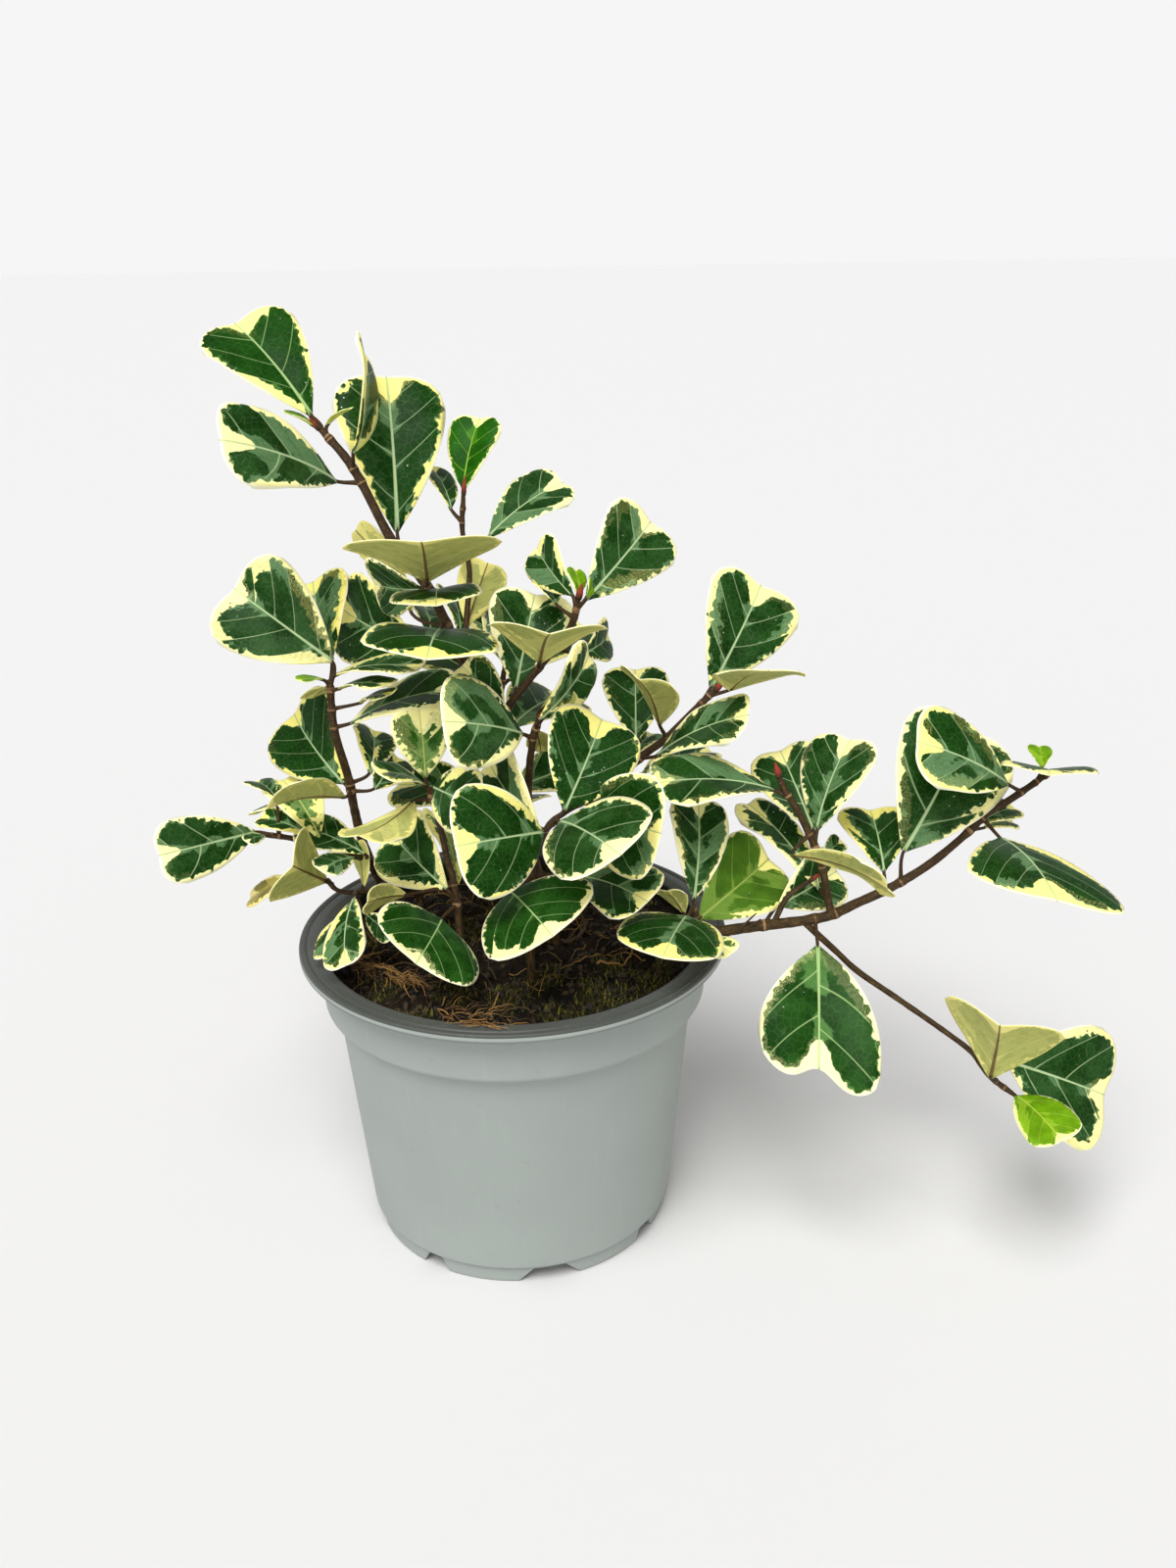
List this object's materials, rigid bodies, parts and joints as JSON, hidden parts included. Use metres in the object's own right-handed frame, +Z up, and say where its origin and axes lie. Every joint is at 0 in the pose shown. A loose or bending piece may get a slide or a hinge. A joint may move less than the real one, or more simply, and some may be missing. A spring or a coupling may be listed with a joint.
{
  "type": "potted plant",
  "caption": "Variegated triangle fig with branching leafy stems, planted in a round plastic nursery pot with a flanged rim and a gapped foot ring.",
  "frame": {"origin": "middle of the object's base, under the centre of its bounding box, at the level of the pot's feet", "axes": "+Z up along the pot's axis, +X to the right in the picture along the long low stem, +Y away from the viewer in the picture"},
  "size_m": [0.367, 0.1926, 0.3604],
  "materials": {
    "pot_plastic": "satin moulded plastic, light grey outside and dark grey inside",
    "potting_soil": "dark damp potting mix with moss and root fibres",
    "leaf_and_stem": "waxy green leaves with cream margins on brown bark"
  },
  "bodies": {
    "root": {"nursery_pot": "pot_plastic", "soil": "potting_soil", "tall_leafy_stem": "leaf_and_stem", "forked_leafy_stem": "leaf_and_stem", "middle_leafy_stem": "leaf_and_stem", "right_leafy_stem": "leaf_and_stem", "twig_leafy_stem": "leaf_and_stem", "front_leafy_stem": "leaf_and_stem", "left_leafy_stem": "leaf_and_stem", "low_leafy_stem": "leaf_and_stem", "long_leafy_stem": "leaf_and_stem", "rear_leafy_stem": "leaf_and_stem"}
  },
  "joints": []
}
